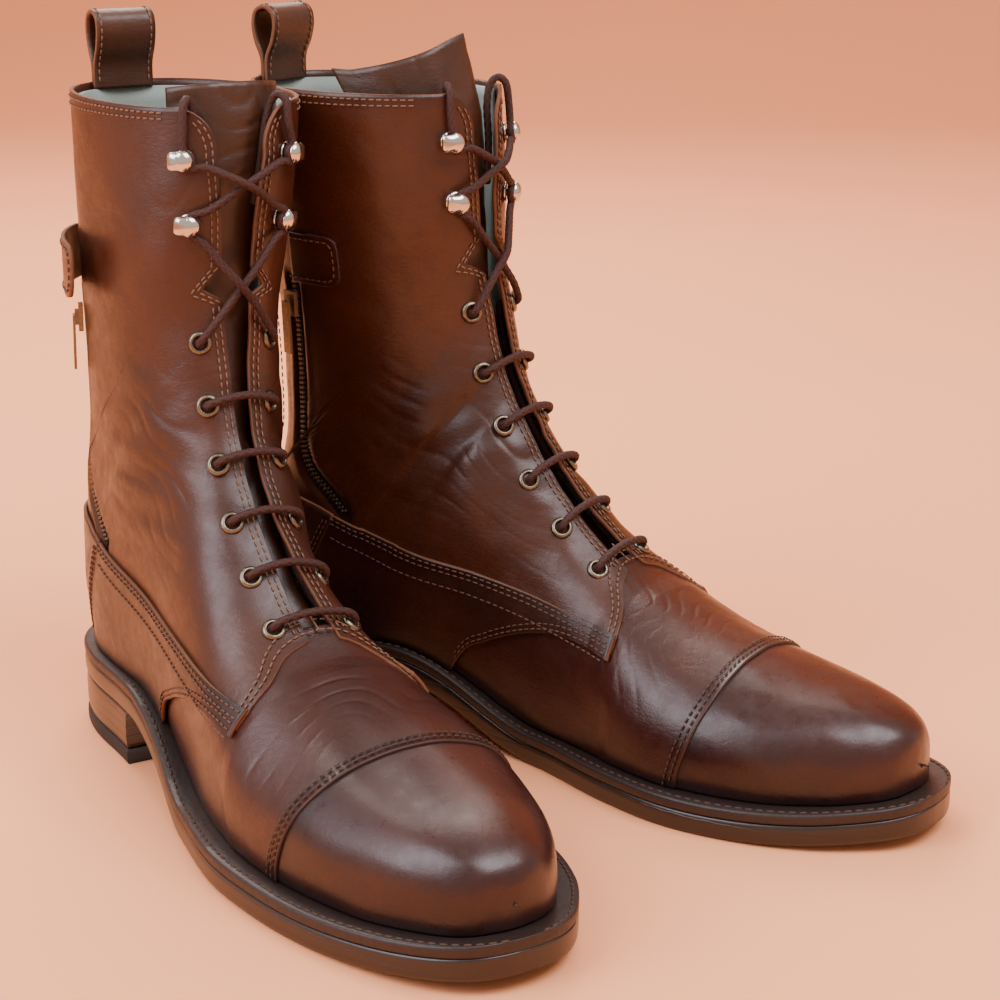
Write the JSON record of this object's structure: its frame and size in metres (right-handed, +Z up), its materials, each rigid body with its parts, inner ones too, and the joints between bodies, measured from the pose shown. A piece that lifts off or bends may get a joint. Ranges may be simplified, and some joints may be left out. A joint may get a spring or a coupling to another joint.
{
  "type": "riding boots",
  "caption": "Pair of ankle-high lace-up leather riding boots with toe caps, stacked heels, pull loops, side zips and strap tabs.",
  "frame": {"origin": "on the floor, at the centre of the pair's bounding box", "axes": "+Z up, toes toward -Y, right boot on -X and left boot on +X"},
  "size_m": [0.2528, 0.3222, 0.281],
  "materials": {
    "sole_leather": "dark brown built sole leather, satin",
    "welt_leather": "dark waxed welt with stitching",
    "shank_steel": "plain spring steel, hidden",
    "insole_leather": "undyed vegetable tanned leather",
    "heel_leather": "stacked leather, dyed and waxed",
    "heel_rubber": "black brown rubber, matt",
    "cap_leather": "polished oxblood brown calf, dark toward the edges",
    "stiffener": "pressed fibre board, hidden",
    "vamp_leather": "polished red brown calf with walking creases",
    "quarter_leather": "waxed tan brown pull-up leather",
    "foxing_leather": "waxed brown leather",
    "zip_tape": "woven tape with metal teeth",
    "lining_leather": "grey green lining leather, matt",
    "tongue_leather": "waxed brown leather with a grey sheen",
    "strap_leather": "waxed tan brown leather",
    "antique_nickel": "antique nickel",
    "polished_nickel": "polished nickel",
    "slider_metal": "worn nickel",
    "lace_cord": "round braided waxed cotton, red brown"
  },
  "bodies": {
    "boots": {"outsole_r": "sole_leather", "welt_r": "welt_leather", "shank_r": "shank_steel", "insole_r": "insole_leather", "heel_block_r": "heel_leather", "heel_lift_r": "heel_rubber", "toe_cap_r": "cap_leather", "toe_puff_r": "stiffener", "vamp_r": "vamp_leather", "quarter_lateral_r": "quarter_leather", "zip_lateral_r": "zip_tape", "foxing_lateral_r": "foxing_leather", "quarter_medial_r": "quarter_leather", "zip_medial_r": "zip_tape", "foxing_medial_r": "foxing_leather", "back_panel_r": "foxing_leather", "counter_stiffener_r": "stiffener", "lining_r": "lining_leather", "tongue_r": "tongue_leather", "eyelets_lateral_r": "antique_nickel", "eyelets_medial_r": "antique_nickel", "hook_lower_lateral_r": "polished_nickel", "hook_upper_lateral_r": "polished_nickel", "hook_lower_medial_r": "polished_nickel", "hook_upper_medial_r": "polished_nickel", "lace_r": "lace_cord", "outsole_l": "sole_leather", "welt_l": "welt_leather", "shank_l": "shank_steel", "insole_l": "insole_leather", "heel_block_l": "heel_leather", "heel_lift_l": "heel_rubber", "toe_cap_l": "cap_leather", "toe_puff_l": "stiffener", "vamp_l": "vamp_leather", "quarter_lateral_l": "quarter_leather", "zip_lateral_l": "zip_tape", "foxing_lateral_l": "foxing_leather", "quarter_medial_l": "quarter_leather", "zip_medial_l": "zip_tape", "foxing_medial_l": "foxing_leather", "back_panel_l": "foxing_leather", "counter_stiffener_l": "stiffener", "lining_l": "lining_leather", "tongue_l": "tongue_leather", "eyelets_lateral_l": "antique_nickel", "eyelets_medial_l": "antique_nickel", "hook_lower_lateral_l": "polished_nickel", "hook_upper_lateral_l": "polished_nickel", "hook_lower_medial_l": "polished_nickel", "hook_upper_medial_l": "polished_nickel", "lace_l": "lace_cord"},
    "pull_loop_r": {"pull_loop_r": "strap_leather"},
    "strap_r": {"strap_r": "strap_leather"},
    "zip_slider_lateral_r": {"zip_slider_lateral_r": "slider_metal"},
    "zip_slider_medial_r": {"zip_slider_medial_r": "slider_metal"},
    "pull_loop_l": {"pull_loop_l": "strap_leather"},
    "strap_l": {"strap_l": "strap_leather"},
    "zip_slider_lateral_l": {"zip_slider_lateral_l": "slider_metal"},
    "zip_slider_medial_l": {"zip_slider_medial_l": "slider_metal"}
  },
  "joints": [
    {"name": "pull_loop_bend_r", "type": "hinge", "parent": "boots", "child": "pull_loop_r", "pos_m": [-0.03127, 0.15281, 0.2546], "axis": [-0.9793, 0.2023, 0], "range_deg": [-30, 30], "stiffness_Nm_per_rad": 0.02},
    {"name": "strap_lift_r", "type": "hinge", "parent": "boots", "child": "strap_r", "pos_m": [-0.05512, 0.14945, 0.18188], "axis": [0.1054, -0.0218, -0.9942], "range_deg": [-8, 45], "stiffness_Nm_per_rad": 0.02},
    {"name": "zip_slide_lateral_r", "type": "slide", "parent": "boots", "child": "zip_slider_lateral_r", "axis": [0.0129, -0.0093, 0.9999], "range_m": [-0.046, 0]},
    {"name": "zip_slide_medial_r", "type": "slide", "parent": "boots", "child": "zip_slider_medial_r", "axis": [0.0573, -0.0185, 0.9982], "range_m": [-0.046, 0]},
    {"name": "pull_loop_bend_l", "type": "hinge", "parent": "boots", "child": "pull_loop_l", "pos_m": [0.03127, 0.13131, 0.2546], "axis": [0.9793, 0.2023, 0], "range_deg": [-30, 30], "stiffness_Nm_per_rad": 0.02},
    {"name": "strap_lift_l", "type": "hinge", "parent": "boots", "child": "strap_l", "pos_m": [0.0551, 0.12795, 0.18188], "axis": [0.109, 0.0225, 0.9938], "range_deg": [-8, 45], "stiffness_Nm_per_rad": 0.02},
    {"name": "zip_slide_lateral_l", "type": "slide", "parent": "boots", "child": "zip_slider_lateral_l", "axis": [-0.0151, -0.0098, 0.9998], "range_m": [-0.046, 0]},
    {"name": "zip_slide_medial_l", "type": "slide", "parent": "boots", "child": "zip_slider_medial_l", "axis": [-0.0595, -0.0189, 0.9981], "range_m": [-0.046, 0]}
  ]
}
